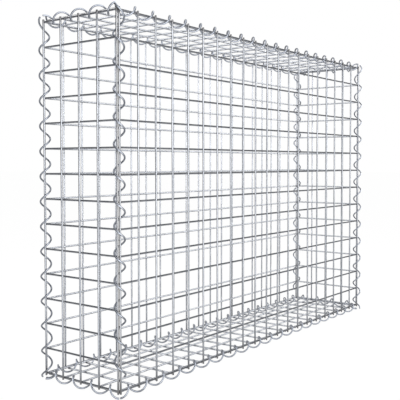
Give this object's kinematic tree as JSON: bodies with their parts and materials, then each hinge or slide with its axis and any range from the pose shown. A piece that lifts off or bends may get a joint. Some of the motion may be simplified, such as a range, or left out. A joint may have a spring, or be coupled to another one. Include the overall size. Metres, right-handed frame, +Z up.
{
  "type": "gabion basket",
  "caption": "Empty gabion basket: a long, narrow box of welded wire mesh panels, laced together along every edge by spiral binders, to be filled with stone as a wall.",
  "frame": {"origin": "middle of the basket's footprint, on the ground under its bottom spirals", "axes": "+X along the length, to the right as seen from the front; +Y from the front panel towards the back panel; +Z up"},
  "size_m": [1.0252, 0.2296, 0.727],
  "materials": {
    "mesh_wire": "hot-dip galvanised, dull silver grey",
    "spiral_wire": "galvanised, a little darker than the mesh"
  },
  "bodies": {
    "root": {"front_panel": "mesh_wire", "back_panel": "mesh_wire", "left_end_panel": "mesh_wire", "right_end_panel": "mesh_wire", "base_panel": "mesh_wire", "lid_panel": "mesh_wire", "front_left_spiral": "spiral_wire", "front_right_spiral": "spiral_wire", "back_left_spiral": "spiral_wire", "back_right_spiral": "spiral_wire", "top_front_spiral": "spiral_wire", "top_back_spiral": "spiral_wire", "top_left_spiral": "spiral_wire", "top_right_spiral": "spiral_wire", "bottom_front_spiral": "spiral_wire", "bottom_back_spiral": "spiral_wire", "bottom_left_spiral": "spiral_wire", "bottom_right_spiral": "spiral_wire"}
  },
  "joints": []
}
